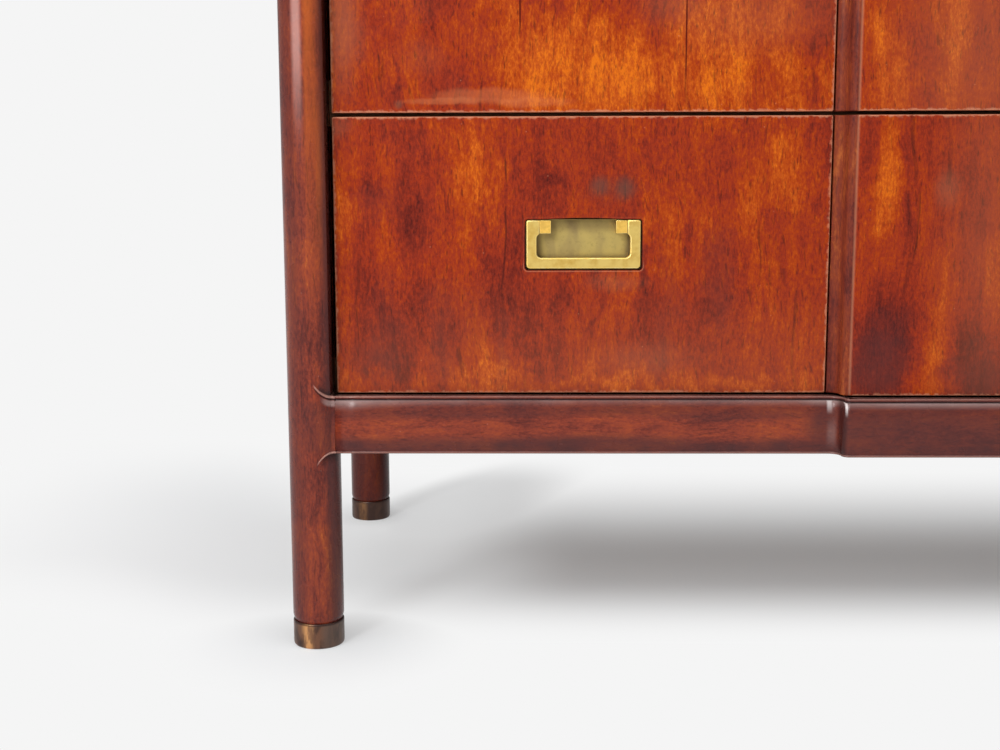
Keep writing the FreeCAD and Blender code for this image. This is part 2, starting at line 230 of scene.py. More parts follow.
def woodStreaks(place, stretch, seed):
    # Streaks along one direction: noise on coordinates squeezed by the stretch, in three sizes,
    # with flecks that are squeezed less, and long thin lines
    moved = place + seed
    along = (moved + moved.noise(9.0, 2.0, output="Color") * (0.03, 0.03, 0.03)) * stretch
    short = moved * (stretch * (0.65, 0.65, 0.65) + (0.35, 0.35, 0.35))
    lines = (along * stretch).noise(170.0, 2.0, 0.5).rise(0.6, 0.72)
    lines *= along.noise(40.0, 2.0, 0.5).rise(0.45, 0.62)
    return {"Broad": along.noise(46.0, 4.0, 0.6), "Fine": along.noise(190.0, 4.0, 0.6),
            "Pores": along.noise(620.0, 2.0, 0.5), "Flecks": short.noise(560.0, 3.0, 0.7), "Lines": lines}


def softSpot(place, centre, size, rim):
    # A soft-edged oval patch with its half sizes in size
    return {"Mask": ((place - centre) / size).length().fall(1.0 - rim, rim + 1.0)}


def wornBorder(place, low, high, width):
    # Ragged lines along the border of a rectangle seen from the front: 1 at the rim, 0 inside
    x, _, z = (place - low).split()
    farX, _, farZ = (high - place).split()
    width *= place.noise(260.0).rise(0.3, 0.7, 0.4, 1.6)
    return {"Mask": x.least(farX).least(z.least(farZ)).fall(0.0, width)}


def scatteredSpecks(place, scale, radius, share):
    # The middles of random cells, kept where the cell's own random value is above the share
    cells = place.through("ShaderNodeTexVoronoi", {"Scale": scale}, feature="F1")
    distance, color = (Flow(place.tree, cells.outputs[label]) for label in ("Distance", "Color"))
    return {"Mask": distance.fall(0.0, radius) * (color.split()[0] > share)}


streakGroup = newGroup(
    "woodStreaks", {"Vector": origin, "Stretch": (1.0, 1.0, 1.0), "Seed": origin}, woodStreaks)
spotGroup = newGroup(
    "softSpot", {"Vector": origin, "Centre": origin, "Size": (0.1, 0.1, 0.1), "Rim": 0.5}, softSpot)
borderGroup = newGroup(
    "wornBorder", {"Vector": origin, "Low": origin, "High": (1.0, 1.0, 1.0), "Width": mm}, wornBorder)
speckGroup = newGroup(
    "specks", {"Vector": origin, "Scale": 150.0, "Radius": 0.12, "Share": 0.6}, scatteredSpecks)


# Veneer of the drawer fronts, side panels and top

veneer = {
    "stops": [(0.0, srgb(78, 22, 18)), (0.25, srgb(118, 36, 22)), (0.45, srgb(146, 46, 22)),
              (0.62, srgb(162, 58, 12)), (0.8, srgb(184, 80, 18)), (1.0, srgb(214, 108, 18))],
    # the two tones after the worn edge's are painted reflections in the lacquer
    "worn": srgb(206, 140, 108), "paintedGlare": srgb(164, 108, 80), "paintedSharpGlare": srgb(200, 116, 74),
    "dusk": srgb(88, 44, 42), "stain": srgb(92, 66, 56), "drip": srgb(84, 16, 10),
    "speck": srgb(214, 140, 104), "hole": srgb(52, 18, 16),
    "base": 0.47, "cloud": 0.5, "patch": 0.38, "broad": 0.55, "fine": 0.5, "flecks": 0.95,
    "spots": 0.8, "pores": 0.5, "lines": 0.62,
    "wander": ((0.05, 0.1), (0.016, 0.012)),        # how far spots and hazes are bent, in x and z
    # marks: drawn out or round, scale, radius, share left out, strength, tone
    "marks": ((False, 74.0, 0.085, 0.84, 0.85, "hole"), (True, 150.0, 0.15, 0.82, 0.7, "hole"),
              (False, 112.0, 0.095, 0.88, 0.45, "speck")),
    "border": 2.3 * mm, "corner": 2.5 * mm,
    "frontGloss": (0.22, 0.36), "topGloss": (0.38, 0.52), "bump": 0.8 * mm, "specular": 0.1,
}


def veneerMaterial(name, seed, look, box=None, ogeeEdge=None, mortise=None, turn=(1.0, 1.0, 0.13)):
    # Figured veneer under lacquer. Each spot is (x, z, half width, half height, strength) in
    # millimetres, with x from the left post's axis.
    material, place = newMaterial(name)
    seeded = place + seed
    streaks = use(streakGroup, Vector=place, Stretch=turn, Seed=seed)
    upright = turn[2] < 1
    tall, dashed = (seeded * ((1.0, 1.0, share) if upright else (share, 1.0, 1.0)) for share in (0.5, 0.22))
    figure = swing(tall.noise(13.0, 3.0, 0.55, 0.6), veneer["cloud"])
    figure += veneer["base"] + look.get("lift", 0.0)
    figure += swing(tall.noise(42.0, 3.0, 0.55, 0.4), veneer["patch"])
    figure += swing(streaks["Broad"], veneer["broad"])
    wobble = seeded.noise(30.0, 4.0, 0.65, output="Color")
    bent, gentle = (wobble * (x, 0.0, z) + (place - (x / 2, 0.0, z / 2)) for x, z in veneer["wander"])

    def spotMask(spot, vector, rim):
        x, z, halfWidth, halfHeight, strength = spot
        return strength * use(
            spotGroup, Vector=vector, Centre=(x * mm - postX, sideFrontY, z * mm),
            Size=(halfWidth * mm, 10.0, halfHeight * mm), Rim=rim)["Mask"]

    for key, weight in (("bright", veneer["spots"]), ("dark", -veneer["spots"])):
        for spot in look.get(key, []):
            figure += spotMask(spot, bent, 0.9) * weight
    figure += swing(streaks["Fine"], veneer["fine"])
    figure += swing(streaks["Flecks"], veneer["flecks"])
    color = figure.ramp(veneer["stops"])
    color = mix(streaks["Pores"].rise(0.58, 0.72) * veneer["pores"], color, veneer["hole"])
    color = mix(streaks["Lines"] * veneer["lines"], color, veneer["hole"])
    for isLong, scale, radius, share, strength, tone in veneer["marks"]:
        marks = use(speckGroup, Vector=dashed if isLong else seeded, Scale=scale, Radius=radius, Share=share)
        color = mix(marks["Mask"] * strength, color, veneer[tone])
    # the patches laid on with the gentle bend are painted reflections in the lacquer
    for key, vector, rim in (("dusk", bent, 0.9), ("paintedGlare", gentle, 0.9), ("paintedSharpGlare", gentle, 0.4),
                             ("stain", place, 0.8), ("drip", place, 0.25)):
        for spot in look.get(key, []):
            color = mix(spotMask(spot, vector, rim), color, veneer[key])
    for spot in look.get("ticks", []):
        ticks = use(speckGroup, Vector=place, Scale=230.0, Radius=0.14, Share=0.7)["Mask"]
        color = mix(spotMask(spot, bent, 0.5) * ticks, color, veneer["speck"])
    if box:
        border = use(borderGroup, Vector=place, Low=box[0], High=box[1], Width=veneer["border"])["Mask"]
        color = mix(border * facing(place)[1].rise(-0.4, -0.8, 0.12, 0.85), color, veneer["worn"])
    if mortise:
        # a dark line round the pull's mortise, painted shade that is strongest towards the foot, and a pale
        # one outside it at the foot
        middle, half = mortise
        corner = veneer["corner"]
        z = place.split()[2] - middle.z
        flat = abs(place - middle) - (half - Vector((corner, 0, corner)))
        reach = (flat.most((0, 0, 0)) * (1, 0, 1)).length() - corner
        line = reach.fall(0.1 * mm, 0.8 * mm) * z.rise(17 * mm, 10 * mm, 0.2, 0.8)
        color = mix(line, color, veneer["hole"])
        pale = reach.rise(0.7 * mm, 1.1 * mm) * reach.fall(1.2 * mm, 2.0 * mm)
        color = mix(pale * z.rise(-12 * mm, -20 * mm, 0.05, 0.4), color, veneer["worn"])
    if ogeeEdge:
        reach = abs(place.split()[0])
        solid = mix(0.3, hardwoodColor(place, (1.0, 1.0, 0.08), 0.06), hardwood["plum"])
        color = mix(reach > ogeeEdge, color, solid)
        # a pale line at the veneer's edge beside the ogee: wear, and a painted highlight of the ogee's ridge
        color = mix(abs(reach - ogeeEdge).fall(0.0, 1.8 * mm) * 0.35, color, veneer["worn"])
    height = seeded.noise(320.0, 2.0) * 0.05 + (streaks["Fine"] * 0.1 + seeded.noise(20.0, 2.0))
    rough = seeded.noise(34.0).rise(0.3, 0.7, *veneer["frontGloss" if upright else "topGloss"])
    finishMaterial(color, rough, height, veneer["bump"], veneer["specular"])
    return material


# Solid hardwood of the posts, rails and ogee

hardwood = {
    "stops": [(0.0, srgb(58, 22, 20)), (0.3, srgb(98, 38, 30)), (0.5, srgb(132, 54, 36)),
              (0.7, srgb(152, 66, 34)), (1.0, srgb(196, 104, 44))],
    "dust": srgb(150, 124, 120), "plum": srgb(72, 38, 38), "paintedShade": srgb(60, 16, 12),
    "amber": srgb(186, 92, 34), "glint": srgb(238, 230, 228), "paintedHighlight": srgb(204, 152, 142),
    "worn": srgb(190, 144, 130), "grimeAndShade": srgb(34, 12, 13),
    "base": 0.5, "cloud": 0.85, "broad": 0.8, "fine": 0.7, "flecks": 0.9, "pores": 0.45,
    "gloss": (0.23, 0.3), "bump": 0.35 * mm, "specular": 0.22,
    "carving": (("DustAndSheen", 0.85, "dust"), ("GrimeAndShade", 0.85, "grimeAndShade"), ("Bead", 0.7, "worn")),
    # glints on the rail's ogee: place beside the breakfront's edge, half width, strength
    "glints": ((-0.5 * mm, 3.0 * mm, 0.5), (-11.8 * mm, 1.3 * mm, 0.85)),
}


def hardwoodColor(place, stretch, lift=0.0, grain=1.0):
    streaks = use(streakGroup, Vector=place, Stretch=stretch)
    tone = swing(place.noise(15.0, 3.0, 0.55, 0.5), hardwood["cloud"]) + (hardwood["base"] + lift)
    for label in ("Broad", "Fine", "Flecks"):
        tone += swing(streaks[label], hardwood[label.lower()] * grain)
    pores = streaks["Pores"].rise(0.56, 0.7) * (hardwood["pores"] * grain)
    return mix(pores, tone.ramp(hardwood["stops"]), hardwood["grimeAndShade"])


def carvedLines(along, height):
    # Lines that follow the carved shoulder. Along runs from the post's axis towards the rail. The
    # bead climbs and the lip falls as a power of what is left to the shoulder's end.
    share = along.rise(post["tip"], post["reach"], smooth=False)
    lipShare = along.rise(post["lipTip"], post["lipReach"], smooth=False)
    above = height - ((1.0 - share) ** post["power"] * post["rise"] + rail["top"])
    below = ((1.0 - lipShare) ** post["power"] * -post["drop"] + rail["low"]) - height
    onPost = along < post["reach"] + 1 * mm
    fade = share.rise(0.0, 0.12)

    def line(distance, middle, width):
        return abs(distance - middle).fall(width * 0.4, width)

    bead = line(above, -1.0 * mm, 1.4 * mm) * fade
    lip = line(below, -1.0 * mm, 1.1 * mm) * lipShare.rise(0.0, 0.2)
    groove = line(above, -3.0 * mm, 1.0 * mm) * fade
    # painted shadow in the hollow over the bead and under the lip
    over = above.fall(0.0, 9 * mm) * (above > 0.0) * share.rise(0.05, 0.5)
    under = below.fall(0.0, 10 * mm) * (below > 0.0) * lipShare.rise(0.1, 0.6)
    # dust and a painted reflection on the band under the groove
    dust = above.rise(-10 * mm, -7 * mm) * above.fall(-4.6 * mm, -3.6 * mm) * share.rise(0.25, 0.7)
    # the groove's dark line is dirt and painted shade
    grimeAndShade = groove.most(over.most(under))
    return {"Bead": bead.most(lip) * onPost, "GrimeAndShade": grimeAndShade * onPost, "DustAndSheen": dust * onPost}


def postTone(color, place, seeded, stretch, shade):
    # The sides turn plum as painted shade, most the one that faces the drawers, and a painted shade of
    # the slot darkens that one more. Higher up the post glows towards the drawers and carries a painted
    # highlight. Inward runs from the post's axis to the chest's middle.
    x, y, z = place.split()
    inward, back = postX - abs(x), halfPitch - abs(y - middleY)
    overRail, fromFoot = z - rail["top"], z - rail["low"]
    glow = inward.rise(-1 * mm, 4 * mm) * overRail.rise(0.04, 0.24)
    glow *= (seeded * stretch).noise(90.0).rise(0.35, 0.65, 0.15, 0.6)
    color = mix(glow, color, hardwood["amber"])
    onRail = fromFoot.rise(-4 * mm, 8 * mm) * overRail.fall(-6 * mm, 0.0)
    inner = inward.rise(8 * mm, 17 * mm, 0.0, 0.8) * (onRail * -0.8 + 1.0)
    sides = inward.rise(0.0, -14 * mm, 0.0, 0.5).most(inner).most(onRail * 0.4)
    color = mix(sides, color, hardwood["plum"])
    # a painted highlight down the post's front, stronger higher up
    paintedHighlight = abs(inward + 4.5 * mm).fall(1.5 * mm, 5.5 * mm, 0.56) * overRail.rise(0.2, 0.3)
    color = mix(paintedHighlight, color, hardwood["paintedHighlight"])
    # darker towards the foot: plum on the front posts, and painted shade on the rear ones
    under = fromFoot.rise(10 * mm, -(30 if shade else 12) * mm, shade / 3, shade + 0.15)
    color = mix(under, color, hardwood["paintedShade" if shade else "plum"])
    # painted shade in the slot between the post and the drawers
    dark = inward.rise(12 * mm, 17 * mm) * overRail.rise(-1 * mm, 8 * mm)
    color = mix(dark * overRail.rise(0.16, 0.3, 0.25, 0.8), color, hardwood["paintedShade"])
    for side in (inward, back):
        lines = use(carvingGroup, Along=side, Height=z)
        for label, share, tone in hardwood["carving"]:
            color = mix(lines[label] * share, color, hardwood[tone])
    return color


def railTone(color, place, seeded):
    # Plum bands above and below as painted shade of the rounded face, and plum at the centre; dust
    # with a painted reflection under the bead, painted shade at the nose, a painted reflection in the cove,
    # and lines along the mouldings
    x, _, z = place.split()
    level = (z - rail["low"]) * 1000.0              # millimetres above the rail's underside
    sideways = abs(x)
    beside = sideways - centreEdge
    shifted = level + swing((seeded * (1.0, 0.0, 0.0)).noise(7.0, 1.0), 16.0)
    near = sideways.rise(postX - 0.09, postX - 0.02)
    centre = beside.rise(30 * mm, 8 * mm, 0.0, 0.85)
    # the bands above and below are painted shade of the rail's rounded face; the centre turns plum too
    plum = shifted.rise(27.0, 34.0, 0.0, 0.6).most(shifted.rise(19.0, 8.0, 0.0, 0.95)).most(centre)
    color = mix(plum * seeded.noise(24.0).rise(0.3, 0.55, 1.0, 0.75), color, hardwood["plum"])
    # dust and a painted reflection, fading down from the groove
    settledDustAndSheen = level.rise(near * -4.0 + 39.5, 45.8, smooth=False) ** 1.7 * level.fall(45.9, 46.3)
    dusty = near.most(centre) * 0.6 + seeded.noise(26.0).rise(0.35, 0.65, 0.22, 0.52)
    color = mix(settledDustAndSheen * dusty, color, hardwood["dust"])

    def band(low, high, edge):
        return level.rise(low - edge, low) * level.fall(high, high + edge)

    # painted shade where the cove turns into the nose
    nose = beside.rise(-14 * mm, -10 * mm) * beside.fall(-9 * mm, -6 * mm, 0.6)
    color = mix(nose, color, hardwood["grimeAndShade"])
    # a painted reflection in the hollow of the cove
    cove = beside.rise(-7 * mm, -4 * mm) * beside.fall(-1 * mm, 3 * mm) * band(17.0, 19.0, 15.0)
    color = mix(cove * 0.28, color, hardwood["dust"])
    for offset, halfWidth, strength in hardwood["glints"]:
        glint = abs(beside - offset).fall(0.3 * halfWidth, halfWidth, strength)
        color = mix(glint * (level.rise(33.0, 44.0) * level.fall(45.0, 46.0)), color, hardwood["glint"])
    # the groove's band is dirt and painted shade; the lip and the bead are worn pale
    for low, high, edge, share, tone in ((45.7, 46.9, 0.5, 0.9, "grimeAndShade"), (0.5, 1.5, 0.3, 0.3, "worn"),
                                         (48.3, 50.0, 0.5, near * 0.3 + 0.22, "worn")):
        color = mix(band(low, high, edge) * share, color, hardwood[tone])
    return color


def hardwoodMaterial(name, stretch, seed=origin, grain=1.0, carved=False, shade=0.0):
    material, place = newMaterial(name)
    seeded = place + seed
    color = hardwoodColor(seeded, stretch, grain=grain)
    pale = use(speckGroup, Vector=seeded, Scale=150.0, Radius=0.1, Share=0.84)["Mask"]
    color = mix(pale * 0.5, color, hardwood["worn"])
    color = postTone(color, place, seeded, stretch, shade) if carved else railTone(color, place, seeded)
    # dust and a painted reflection on faces that look up
    dust = facing(place)[2].rise(0.25, 0.9) * seeded.noise(60.0, 4.0).rise(0.35, 0.65, 0.55, 1.0)
    color = mix(dust * 0.3, color, hardwood["dust"])
    height = (seeded * stretch).noise(240.0, 4.0) * 0.25 + seeded.noise(30.0, 2.0)
    rough = seeded.noise(40.0).rise(0.3, 0.7, *hardwood["gloss"])
    finishMaterial(color, rough, height, hardwood["bump"], hardwood["specular"])
    return material


def plainWoodMaterial(name, light, dark, stretch, roughness):
    material, place = newMaterial(name)
    streaks = use(streakGroup, Vector=place, Stretch=stretch, Seed=(3.1, 1.7, 0.4))
    color = mix((streaks["Broad"] + swing(streaks["Fine"], 0.5)).rise(0.3, 0.75), dark, light)
    pores = streaks["Pores"].rise(0.58, 0.72)
    color = mix(pores * 0.35, color, dark)
    finishMaterial(color, roughness, streaks["Fine"] - pores * 0.5, 0.25 * mm, 0.3)
    return material


# Brass

brass = {
    "bright": srgb(246, 213, 122), "brightDeep": srgb(217, 177, 88), "rim": srgb(246, 222, 146),
    "aged": srgb(203, 178, 106), "agedDeep": srgb(168, 147, 96), "lug": srgb(242, 198, 98),
    "patina": srgb(60, 38, 30), "shade": srgb(96, 74, 60), "bronze": srgb(108, 72, 52),
    "gold": srgb(206, 150, 98), "grey": srgb(92, 78, 70),
    "polishBump": 0.05 * mm, "rimBump": 0.03 * mm, "footBump": 0.1 * mm,
}


def brightBrass():
    material, place = newMaterial("satinBrass")
    cloud = place.noise(90.0)
    color = mix(cloud.rise(0.35, 0.7), brass["bright"], brass["brightDeep"])
    dots = use(speckGroup, Vector=place, Scale=420.0, Radius=0.1, Share=0.85)["Mask"]
    color = mix(dots * 0.4, color, brass["agedDeep"])
    height = (place * (0.12, 1.0, 1.0)).noise(2600.0, 2.0) * 0.3 + place.noise(260.0, 2.0)
    finishMaterial(color, cloud.rise(0.3, 0.7, 0.3, 0.42), height, brass["polishBump"], metallic=1.0)
    return material


def rimBrass(name, deep, light):
    material, place = newMaterial(name)
    worn = place.noise(160.0).rise(0.35, 0.65)
    color = mix(worn, brass[deep], brass[light])
    finishMaterial(color, worn.rise(0.0, 1.0, 0.6, 0.5), place.noise(300.0, 2.0), brass["rimBump"],
                   metallic=1.0)
    return material


def agedBrass(tag, low, high):
    # Cloudy olive brass, with painted shade towards the rim of its pan
    material, place = newMaterial("agedBrass." + tag)
    cloud = (place * (1.0, 1.0, 0.45)).noise(70.0, 2.0, 0.5, 0.3)
    color = mix(cloud.rise(0.32, 0.72), brass["aged"], brass["agedDeep"])
    color = mix(place.noise(420.0).rise(0.5, 0.8, 0.0, 0.2), color, brass["patina"])
    half = (high - low) / 2
    x, _, z = abs(place - (low + high) / 2).split()
    rim = x.rise(half.x - 17 * mm, half.x - 7 * mm, 0.0, 0.75).most(
        z.rise(half.z - 14 * mm, half.z - 6 * mm, 0.0, 0.42))
    color = mix(rim, color, brass["shade"])
    finishMaterial(color, cloud.rise(0.3, 0.7, 0.42, 0.55), place.noise(300.0), brass["polishBump"],
                   metallic=1.0)
    return material


def ferruleBrass(name, shadeShare):
    # Brown bronze with soft upright streaks, a bare golden patch on its front and a grey side. The rear
    # feet's copy is darkened towards patina as painted shade.
    material, place = newMaterial(name)
    x, _, z = place.split()
    inward = postX - abs(x)
    tall = place * (1.0, 1.0, 0.4)
    cloud = tall.noise(110.0, 4.0, 0.6, 0.4)
    color = mix(cloud.rise(0.35, 0.62), brass["patina"], brass["bronze"])
    color = mix(inward.rise(2 * mm, 10 * mm) * (0.6 * (1 - shadeShare)), color, brass["grey"])
    bare = inward.rise(-14 * mm, -8 * mm) * inward.fall(-6 * mm, 0.0)
    bare *= tall.noise(140.0).rise(0.38, 0.56, 0.2, 1.0 - shadeShare / 2)
    color = mix(bare, color, brass["gold"])
    rim = z.rise(ferruleTop - 2.2 * mm, ferruleTop - 1.2 * mm)
    color = mix(rim * 0.7, color, hardwood["grimeAndShade"])
    # painted shade for the rear feet's copy
    if shadeShare:
        color = mix(shadeShare, color, brass["patina"])
    rough = cloud.rise(0.35, 0.65, 0.45, 0.32)
    finishMaterial(color, rough, place.noise(340.0, 4.0), brass["footBump"], 0.4, bare * 0.3 + 0.35)
    return material


# Meshes worked out on a grid

def addObject(name, data):
    piece = bpy.data.objects.new(name, data)
    bpy.context.scene.collection.objects.link(piece)
    return piece


def gridPiece(name, points, material, caps=True, flip=False):
    # Mesh of a grid of points (rows, columns, 3) whose rows close on themselves. caps close the
    # first and last row with a fan about their mean.
    rowCount, columnCount = points.shape[:2]
    index = np.arange(rowCount * columnCount).reshape(rowCount, columnCount)
    beside = np.roll(index, -1, axis=1)
    faces = np.stack([index[:-1], beside[:-1], beside[1:], index[1:]], axis=-1).reshape(-1, 4).tolist()
    vertices = points.reshape(-1, 3)
    if caps:
        vertices = np.concatenate([vertices, [points[0].mean(0), points[-1].mean(0)]])
        ends = ((beside[0], index[0], index.size), (index[-1], beside[-1], index.size + 1))
        for ring, nextRing, middle in ends:
            faces += np.stack([ring, nextRing, np.full_like(ring, middle)], axis=-1).tolist()
    if flip:
        faces = [face[::-1] for face in faces]
    mesh = bpy.data.meshes.new(name)
    mesh.from_pydata(vertices.tolist(), [], faces)
    mesh.materials.append(material)
    mesh.polygons.foreach_set("use_smooth", [True] * len(mesh.polygons))
    mesh.update()
    return addObject(name, mesh)


def mount(piece, body, slotName, *nodes):
    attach(piece, body)
    if nodes:
        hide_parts(*nodes)


def spread(sections):
    # Even steps over each (start, end, count), without the last end
    return np.concatenate([np.linspace(*section, endpoint=False) for section in sections])


def smoothStep(value):
    clipped = np.clip(value, 0.0, 1.0)
    return clipped * clipped * (3 - 2 * clipped)


# Rail moulding: offsets behind the rail's face against height, both in millimetres

rail = {
    "low": railLow.z, "ledge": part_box("side_panel_left")[0].z, "top": railHigh.z,
    "faceOut": 14.0 * mm, "coveRadius": 8.6 * mm,
    "points": [(1.5, 0.0), (0.9, 0.15), (0.55, 0.6), (0.55, 1.3), (0.95, 1.75), (1.45, 1.9), (1.35, 2.3),
               (0.9, 3.2), (0.3, 7.0), (-0.2, 12.0), (-0.5, 17.0), (-0.55, 23.0), (-0.4, 29.0),
               (0.0, 34.5), (0.5, 38.5), (1.15, 41.5), (2.1, 44.2), (3.2, 45.9), (3.5, 46.3),
               (3.1, 46.6), (2.45, 47.0), (2.15, 47.7), (2.3, 48.5), (2.75, 49.05), (3.35, 49.2),
               (4.0, 48.95), (4.5, 48.3), (4.8, 47.9), (5.6, 48.0), (12.7, 48.9), (12.9, 46.8)],
    "facePoints": 25,                               # how many of them lie in front of the bead's back
    "endGap": 0.12 * mm, "sideSections": 12,
}
railOffsets, railHeights = np.array(rail["points"]).T * mm


def railPath(endX, faceY):
    # Plan of the breakfront from the left end to the right: straight, cove, nose, straight and
    # back. Gives points, and unit normals that look into the wood.
    cove = rail["coveRadius"]
    nose = breakStep - cove
    turn = np.linspace(0, math.pi / 2, 13)
    swept, ahead = np.stack([np.sin(turn), np.cos(turn)], -1), np.array([0.0, 1.0])
    noseX = -centreEdge + cove + nose
    straight = spread([(-endX, -centreEdge, 23)])
    middle = np.linspace(noseX, 0, 18)[1:]
    points = np.concatenate([
        np.stack([straight, np.full_like(straight, faceY)], -1),
        np.array([-centreEdge, faceY - cove]) + cove * swept,
        np.array([noseX, faceY - cove]) - nose * swept[1:, ::-1],
        np.stack([middle, np.full_like(middle, faceY - breakStep)], -1)])
    normals = np.concatenate([np.tile(ahead, (len(straight), 1)), swept, swept[1:, ::-1],
                              np.tile(ahead, (len(middle), 1))])
    return [np.concatenate([half, (half[:-1] * np.array([-1.0, 1.0]))[::-1]]) for half in (points, normals)]


def frontRail(material):
    # Carries the moulding along the plan: each point lies on the plan's normal at its offset, and
    # the flat back closes it.
    path, normals = railPath(railHigh.x - rail["endGap"], frontAxisY - rail["faceOut"])
    xy = path[:, None, :] + normals[:, None, :] * railOffsets[None, :, None]
    height = np.broadcast_to((railHeights + rail["low"])[None, :, None], (*xy.shape[:2], 1))
    sections = [np.concatenate([xy, height], -1)]
    for level in (rail["ledge"], rail["low"]):
        behind = [path[:, 0], np.full(len(path), railHigh.y), np.full(len(path), level)]
        sections.append(np.stack(behind, -1)[:, None])
    piece = gridPiece("baseRail", np.concatenate(sections, axis=1), material)
    mount(piece, "case", "dark_hardwood", "front_rail")


def sideRail(name, side, material):
    # The same moulding, carried straight from front to back
    low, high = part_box("side_rail_" + name)
    along = np.linspace(low.y + rail["endGap"], high.y - rail["endGap"], rail["sideSections"])
    inner = side * caseInner
    xs = np.concatenate([side * (postX + rail["faceOut"]) - side * railOffsets, [inner, inner]])
    zs = np.concatenate([railHeights + rail["low"], [rail["ledge"], rail["low"]]])
    points = np.stack(np.broadcast_arrays(xs[None, :], along[:, None], zs[None, :]), -1)
    piece = gridPiece("baseRailSide." + name, points, material, flip=side < 0)
    mount(piece, "case", "dark_hardwood", "side_rail_" + name)


# Posts with carved shoulders

post = {
    "reach": 19.5 * mm, "tip": 2.5 * mm,            # where the shoulder meets the rail and dies out
    "lipReach": 17.3 * mm, "lipTip": 4.0 * mm,
    "rise": 12.5 * mm, "drop": 10.5 * mm, "power": 2.2,
    "beadInner": 9.2 * mm,                          # how far in front of the axis the bead's back lies
    "scoop": 1.0 * mm, "scoopReach": 7.0 * mm,      # hollow above the bead
    "hollow": 1.4 * mm, "hollowReach": 6.0 * mm,    # hollow under the lip
    "skin": 0.1 * mm,
    "radii": (9.0 * mm, 27.0 * mm, 90), "halvings": 6,
    "inFerrule": 4 * mm, "tenonStep": 2.2 * mm,     # how far the leg runs down into its ferrule
    "rings": (13, 8, 37, 11, 67, 11, 39),           # between one level and the next, from the foot up
    # round the post: from one angle to another, and the steps between
    "bends": ((-180, -72, 26), (-72, -14, 90), (-14, 104, 40), (104, 162, 90), (162, 180, 6)),
}

carvingGroup = newGroup("carvedLines", {"Along": 0.0, "Height": 0.0}, carvedLines)
woodUpright = hardwoodMaterial("postWood", (1.0, 1.0, 0.06), carved=True)
# the rear posts are a copy with painted shade below the rail
woodRear = hardwoodMaterial("shadedRearPostWood", (1.0, 1.0, 0.06), (3.0, 1.0, 0.0), carved=True, shade=0.5)
woodAlong = hardwoodMaterial("railWood", (0.12, 1.0, 1.0), (2.0, 0.3, 0.0), grain=0.8)
woodDeep = hardwoodMaterial("sideRailWood", (1.0, 0.06, 1.0), (5.0, 1.3, 0.0))
print("materials for solid wood ready")

frontRail(woodAlong)
for side, sideName in ((-1, "left"), (1, "right")):
    sideRail(sideName, side, woodDeep)
print("base rails swept")


def insideShoulder(along, across, height):
    # True inside the carved end of a rail that leaves along the first coordinate, and True in a
    # second array where that carving lets the post's own wood stay. The plan swings from the round
    # post out to the rail's face, the moulding's relief is cut from it, and the bead climbs and the
    # lip falls towards the post.
    order = np.argsort(railHeights[:rail["facePoints"]], kind="stable")
    knots, relief = railHeights[order], railOffsets[order]
    span = rail["top"] - rail["low"]
    share = np.clip((along - post["tip"]) / (post["reach"] - post["tip"]), 0, 1)
    lipShare = np.clip((along - post["lipTip"]) / (post["lipReach"] - post["lipTip"]), 0, 1)
    upper = rail["top"] + post["rise"] * (1 - share) ** post["power"]
    lower = rail["low"] - post["drop"] * (1 - lipShare) ** post["power"]
    fromTop, fromLow = span - (upper - height), height - lower
    depth = np.interp(np.where(fromTop > span / 2, fromTop, np.minimum(fromLow, span / 2)), knots, relief)
    amount = smoothStep(share / 0.6)
    circle = np.sqrt(np.maximum(postRadius ** 2 - along ** 2, 0.0))
    within = postRadius - post["skin"]
    face = np.maximum(circle, within + (rail["faceOut"] - within) * smoothStep(share)) - depth * amount
    cut = (np.interp(span - 0.3 * mm, knots, relief) + post["scoop"]) * amount
    above = circle - cut * np.exp(-np.maximum(height - upper, 0) / post["scoopReach"])
    cut = post["hollow"] * smoothStep(lipShare / 0.5)
    below = circle - cut * np.exp(-np.maximum(lower - height, 0) / post["hollowReach"])
    outward = -across
    between = (height >= lower) & (height <= upper)
    allowed = np.where(height > upper, above, np.where(height < lower, below, face))
    limit = np.where((height > rail["ledge"]) & (outward < post["beadInner"]), flatOffset, post["reach"])
    stub = (along > 0) & between & (outward <= face) & (along <= limit) & (across <= flatOffset)
    return stub, (along <= post["tip"]) | (outward <= allowed)


def postRadiusAt(angle, height, inFront):
    # Radius of the post's section: the outermost of a row of radii that lies in the wood, halved
    # down to the surface. Round below the rail, and above it cut by two flats.
    def inside(radius):
        along, across = radius * np.cos(angle), radius * np.sin(angle)
        wood = (height <= rail["low"]) | ((along <= flatOffset) & (across <= flatOffset))
        wood &= radius <= postRadius
        stubs = np.zeros_like(wood)
        for first, second in ((across, along), (along, across))[:2 if inFront else 1]:
            stub, stays = insideShoulder(first, second, height)
            stubs |= stub
            wood &= stays
        return wood | stubs

    steps = np.linspace(*post["radii"])
    best = np.full_like(angle, steps[0])
    for radius in steps:
        best = np.where(inside(np.full_like(angle, radius)), radius, best)
    far = best + (steps[1] - steps[0])
    for _ in range(post["halvings"]):
        middle = (best + far) / 2
        held = inside(middle)
        best, far = np.where(held, middle, best), np.where(held, far, middle)
    return best


